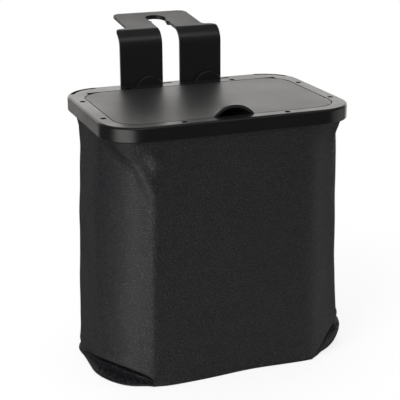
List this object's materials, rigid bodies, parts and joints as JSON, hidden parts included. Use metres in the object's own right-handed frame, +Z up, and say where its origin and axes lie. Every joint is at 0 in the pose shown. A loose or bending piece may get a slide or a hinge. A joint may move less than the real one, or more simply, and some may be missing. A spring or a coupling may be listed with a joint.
{
  "type": "car litter bin",
  "caption": "Soft-sided litter bin for a car, with a moulded rim, a flap lid with a finger hood, and a forked keyhole hanger that hooks on a headrest post.",
  "frame": {"origin": "on the floor, below the middle of the rim", "axes": "+Z up, -Y the front with the finger hood, +Y the back with the hanger"},
  "size_m": [0.2386, 0.223, 0.3012],
  "materials": {
    "rim_plastic": "smooth moulded black, satin gloss",
    "ring_plastic": "plain moulded black",
    "screw_steel": "blackened steel",
    "lid_plastic": "smooth moulded black, satin gloss",
    "hanger_plastic": "smooth moulded black, satin gloss",
    "bag_leather": "black faux leather with a fine pebble grain"
  },
  "bodies": {
    "body": {"rim_frame": "rim_plastic", "clamp_ring": "ring_plastic", "rim_screws": "screw_steel", "bag": "bag_leather"},
    "lid": {"lid": "lid_plastic"},
    "hanger": {"hanger": "hanger_plastic"}
  },
  "joints": [
    {"name": "lid_hinge", "type": "hinge", "parent": "body", "child": "lid", "pos_m": [0, 0.0561, 0.2406], "axis": [-1, 0, 0], "range_deg": [0, 102]},
    {"name": "hanger_slide", "type": "slide", "parent": "body", "child": "hanger", "axis": [1, 0, 0], "range_m": [0, 0.0132]}
  ]
}
